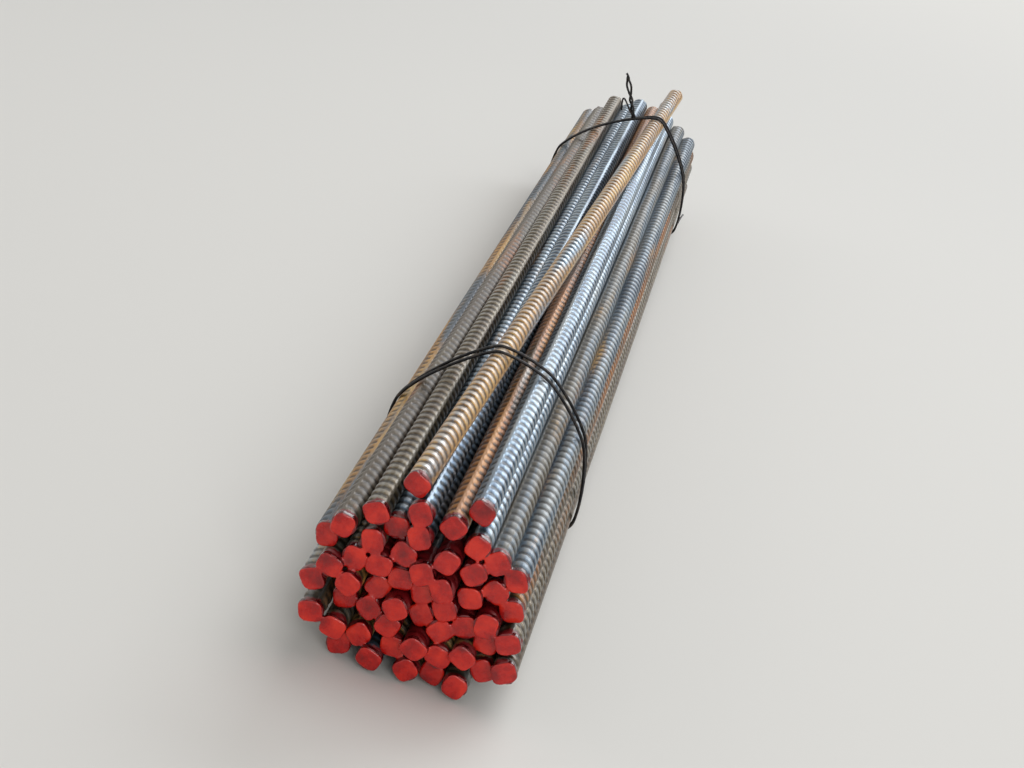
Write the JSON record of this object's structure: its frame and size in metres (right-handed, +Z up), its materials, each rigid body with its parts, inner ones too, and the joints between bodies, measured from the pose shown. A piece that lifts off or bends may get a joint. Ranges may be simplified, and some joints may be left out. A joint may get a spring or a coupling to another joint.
{
  "type": "rebar bundle",
  "caption": "Bundle of short ribbed steel reinforcing bars with red painted ends, bound by doubled and twisted wire ties.",
  "frame": {"origin": "middle of the bundle's box, at floor level", "axes": "+Z up, bars along Y, painted ends facing -Y, +X to the right of someone who looks at the painted ends"},
  "size_m": [0.1256, 0.9306, 0.1478],
  "materials": {
    "bar_steel": "hot rolled steel with mill scale, patches of rust, and red enamel on one end",
    "tie_wire": "black annealed wire"
  },
  "bodies": {
    "root": {"inner_bars": "bar_steel", "upper_bars": "bar_steel", "left_side_bars": "bar_steel", "right_side_bars": "bar_steel", "bottom_bars": "bar_steel", "askew_top_bar": "bar_steel", "near_tie": "tie_wire", "far_tie": "tie_wire"}
  },
  "joints": []
}
